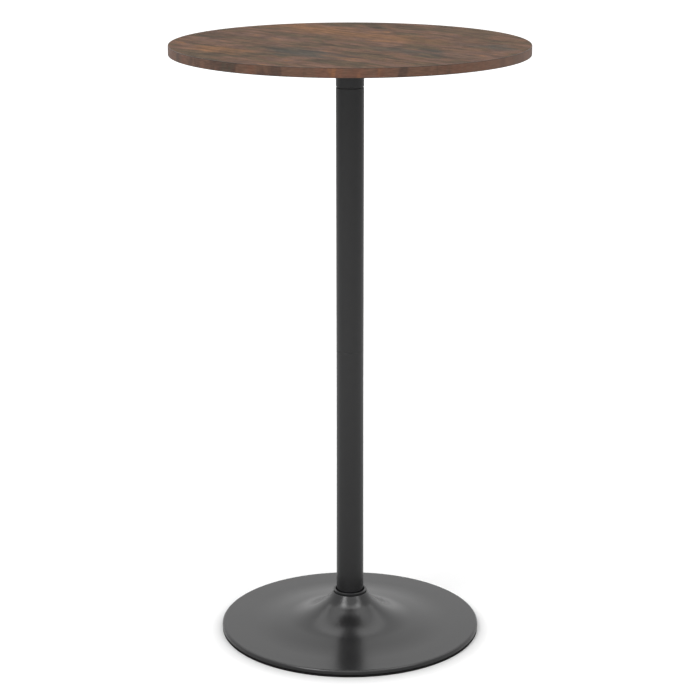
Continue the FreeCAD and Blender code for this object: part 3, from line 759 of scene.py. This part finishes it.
# This dark brown serves both as the painted shade on the rims and as the joint's own colour.
edged = blend(tree, "MIX", rim_shade_and_joint_line, paler, (0.032, 0.022, 0.017, 1))
tree.links.new(edged, shader.inputs["Base Color"])
grain_bump(tree, shader, hairs, strength=0.1, depth_mm=0.05)

band_thickness, band_ease = 1, 0.8
edge_band = turned("printed_edge_band", [(band_r - band_thickness, band_high),
                                         (band_r, band_high, band_ease),
                                         (band_r, band_low, band_ease),
                                         (band_r - band_thickness, band_low)], band_print,
                   bend_facets=6, round_facets=384)
stands_for(edge_band, "edge_band")


# ---------------------------------------------------------------- studio
# Pale floor, which shines white for the camera except close to the base, where its glow is dimmed to
# paint shade round the foot, under a white surround.  Two tall softboxes stand in front, screens hang
# overhead all round, and one is behind the camera.

studio_floor, tree, shader = new_finish("studio_floor", (0.68, 0.68, 0.68), 0.9)
shader.inputs["Specular IOR Level"].default_value = 0.0
shader.inputs["Emission Color"].default_value = (1, 1, 1, 1)


def ring_glow(tree, forward, start, end, inside, outside):
    """A brightness that changes between two radii, in metres, round a point this far forward."""
    place = object_place(tree, centre=(0, forward, 0))
    away = step(tree, "ShaderNodeVectorMath", {0: place}, operation="LENGTH")
    return rescaled(tree, away.outputs["Value"], start, end, inside, outside)


def bounced_rays(tree):
    """What is known of a ray, and 1 where a glossy or a clear surface has sent it."""
    ray = step(tree, "ShaderNodeLightPath", {}).outputs
    return ray, reckon(tree, "MAXIMUM", ray["Is Glossy Ray"], ray["Is Transmission Ray"])


# Painted shade: the floor's glow for the camera is weaker within about 23 to 26 cm of a point 10 mm in
# front of the axis, which darkens the floor round the base's foot on top of its real shadow.
foot_glow_with_painted_shade = ring_glow(tree, 0.01, 0.227, 0.256, 0.12, 0.38)
far_away = ring_glow(tree, 0, 0.26, 1.5, 0.0, 0.6)
ray, bounced = bounced_rays(tree)
seen = reckon(tree, "MULTIPLY", ray["Is Camera Ray"], reckon(tree, "ADD", foot_glow_with_painted_shade, far_away))
mirrored_share = 0.25
mirrored = reckon(tree, "MULTIPLY", bounced, reckon(tree, "MULTIPLY", far_away, mirrored_share))
tree.links.new(reckon(tree, "MAXIMUM", seen, mirrored).outputs[0], shader.inputs["Emission Strength"])
floor_reach = 60
floor_corners = [(x * floor_reach, y * floor_reach, 0) for x, y in ((-1, -1), (1, -1), (1, 1), (-1, 1))]
floor_mesh = bpy.data.meshes.new("studio_floor")
floor_mesh.from_pydata(floor_corners, [], [(0, 1, 2, 3)])
floor_mesh.materials.append(studio_floor)
studio = bpy.data.objects.new("studio_floor", floor_mesh)
bpy.context.scene.collection.objects.link(studio)

surround = bpy.data.worlds.new("white_surround")
bpy.context.scene.world = surround
surround.use_nodes = True
tree = surround.node_tree
ray, bounced = bounced_rays(tree)
shown = reckon(tree, "MAXIMUM", ray["Is Camera Ray"], bounced)
surround_light = 0.25
background = tree.nodes["Background"].inputs
background["Color"].default_value = (1, 1, 1, 1)
tree.links.new(rescaled(tree, shown, 0, 1, surround_light, 1), background["Strength"])

aim = Vector((0, 0, 0.1))


def lamp(name, azimuth, elevation, distance, size, brightness):
    """An area lamp that faces the table's foot; azimuth 0 is in front and goes round to the right.

    Its brightness is that of its face, where the white surround has 1.
    """
    light = bpy.data.lights.new(name, "AREA")
    light.shape = "RECTANGLE"
    light.size, light.size_y = size
    light.energy = brightness * math.pi * light.size * light.size_y
    around, above = math.radians(azimuth), math.radians(elevation)
    outward = Vector((math.sin(around) * math.cos(above), -math.cos(around) * math.cos(above),
                      math.sin(above)))
    holder = bpy.data.objects.new(name, light)
    holder.location = aim + outward * distance
    holder.rotation_euler = outward.to_track_quat("Z", "Y").to_euler()
    holder.visible_camera = False
    bpy.context.scene.collection.objects.link(holder)


lamp("left_softbox", -40, 46, 6.4, (1.8, 3.8), 5.2)
lamp("right_softbox", 58, 46, 6.4, (1.6, 3.8), 2.4)
lamp("top_screen", 0, 70, 6.6, (9.0, 2.0), 1.5)
lamp("left_top_screen", -78, 66, 6.6, (5.0, 3.6), 1.05)
lamp("right_top_screen", 78, 66, 6.6, (5.0, 3.6), 1.05)
lamp("back_strip", 180, 58, 6.8, (14.0, 2.4), 1.2)
lamp("front_screen", 0, 35, 10.0, (12.0, 8.0), 0.5)

camera_back, camera_high, look_down = 3.525, 1.489, 15.43
focal_px, frame_px, sensor_mm = 2095, 700, 36
lens = bpy.data.cameras.new("camera")
lens.lens = focal_px * sensor_mm / frame_px
camera = bpy.data.objects.new("camera", lens)
camera.location = (0, -camera_back, camera_high)
camera.rotation_euler = (math.radians(90 - look_down), 0, 0)
bpy.context.scene.collection.objects.link(camera)
bpy.context.scene.camera = camera
bpy.context.scene.view_settings.view_transform = "Standard"
